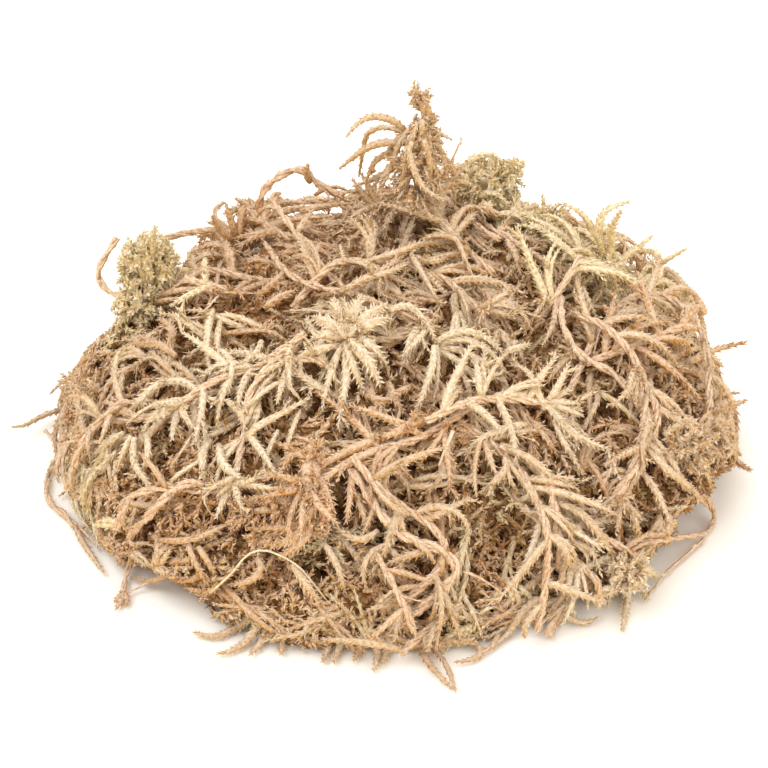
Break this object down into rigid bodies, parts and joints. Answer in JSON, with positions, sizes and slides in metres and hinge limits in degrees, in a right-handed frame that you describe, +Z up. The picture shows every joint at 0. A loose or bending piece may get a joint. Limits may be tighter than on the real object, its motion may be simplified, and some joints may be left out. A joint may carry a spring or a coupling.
{
  "type": "sphagnum moss clump",
  "caption": "Low heap of dried long-fibre sphagnum: a matted inner mass with loose leafy stems, heads and twigs tangled over it.",
  "frame": {"origin": "middle of the flat underside, on the table", "axes": "+Z up from the table, +X to the right and -Y to the front of the clump"},
  "size_m": [0.1632, 0.1628, 0.0798],
  "materials": {
    "heart": "matt dried moss, browner inside the clump",
    "straw": "matt dried moss, straw",
    "cream": "matt dried moss, pale cream",
    "tan": "matt dried moss, pinkish tan",
    "olive": "matt dried moss, olive straw",
    "russet": "matt dried moss, orange brown",
    "fibre": "smooth pale stripped fibre"
  },
  "bodies": {
    "root": {"matted_heart": "heart", "front_spray": "straw", "right_foot_head": "cream", "left_tail": "tan", "right_arc": "straw", "left_reach": "straw", "left_droop": "straw", "right_loop": "tan", "back_left_fan": "tan", "back_arch": "straw", "back_right_fan": "tan", "back_trail": "tan", "east_trail": "olive", "right_spike": "russet", "left_fern": "tan", "pale_arch": "cream", "left_head": "cream", "right_fall": "straw", "russet_branch": "russet", "middle_fall": "straw", "front_tail": "tan", "right_curve": "straw", "right_fan": "cream", "star_head": "cream", "upper_rope": "straw", "west_rise": "tan", "left_loop": "tan", "left_tuft": "olive", "grass_tuft": "olive", "crown_spike": "straw", "crown_side_head": "olive", "brow_arch": "straw", "white_fibre": "fibre"}
  },
  "joints": []
}
